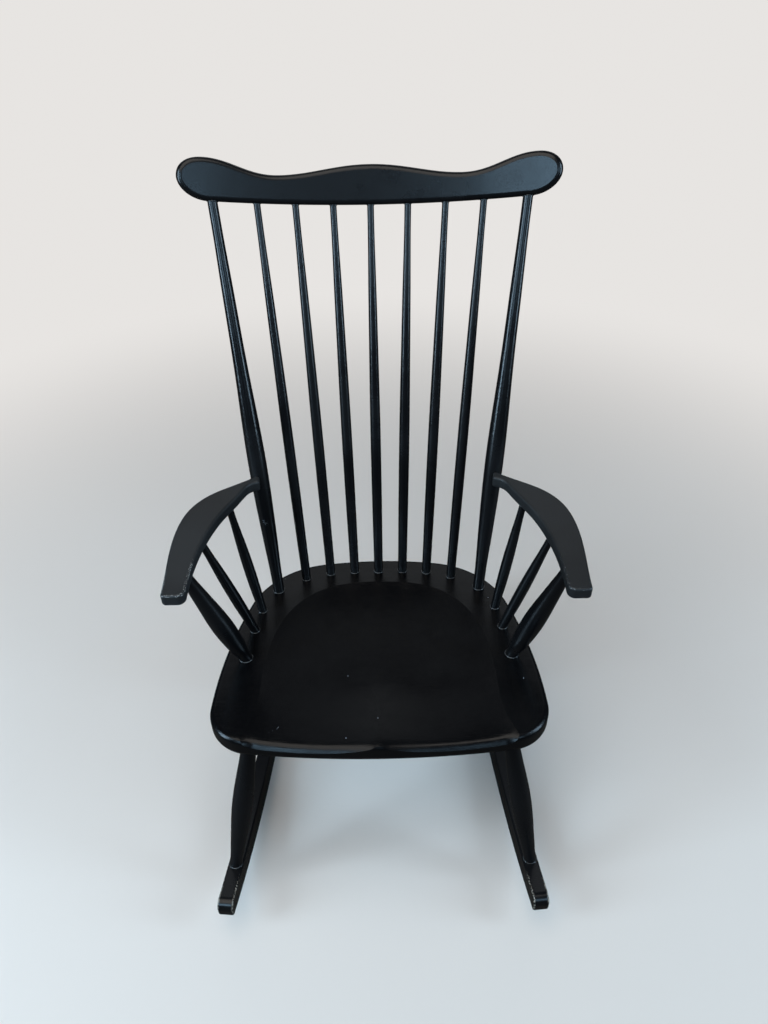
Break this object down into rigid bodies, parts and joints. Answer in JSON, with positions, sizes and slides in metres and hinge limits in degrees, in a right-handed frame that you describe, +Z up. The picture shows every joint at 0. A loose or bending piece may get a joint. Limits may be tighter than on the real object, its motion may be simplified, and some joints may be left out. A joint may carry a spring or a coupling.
{
  "type": "rocking chair",
  "caption": "Black lacquered wooden rocking chair with a saddle seat, a tall spindle back, a serpentine crest rail and flat curved arms, on curved rockers.",
  "frame": {"origin": "centre of the bounding box in plan, on the floor", "axes": "+Z up, the chair faces -Y, +X to the right of a viewer who looks along +Y"},
  "size_m": [0.646, 0.7914, 1.114],
  "materials": {
    "black_lacquer": "gloss",
    "bare_wood": "matte"
  },
  "bodies": {
    "root": {"arm_dowel_left": "bare_wood", "arm_dowel_right": "bare_wood", "arm_left": "black_lacquer", "arm_post_left": "black_lacquer", "arm_post_right": "black_lacquer", "arm_right": "black_lacquer", "arm_spindle_front_left": "black_lacquer", "arm_spindle_front_right": "black_lacquer", "arm_spindle_rear_left": "black_lacquer", "arm_spindle_rear_right": "black_lacquer", "back_post_left": "black_lacquer", "back_post_right": "black_lacquer", "back_spindle_1": "black_lacquer", "back_spindle_2": "black_lacquer", "back_spindle_3": "black_lacquer", "back_spindle_4": "black_lacquer", "back_spindle_5": "black_lacquer", "back_spindle_6": "black_lacquer", "back_spindle_7": "black_lacquer", "crest_rail": "black_lacquer", "front_leg_left": "black_lacquer", "front_leg_right": "black_lacquer", "rear_leg_left": "black_lacquer", "rear_leg_right": "black_lacquer", "rocker_left": "black_lacquer", "rocker_right": "black_lacquer", "seat": "black_lacquer"}
  },
  "joints": []
}
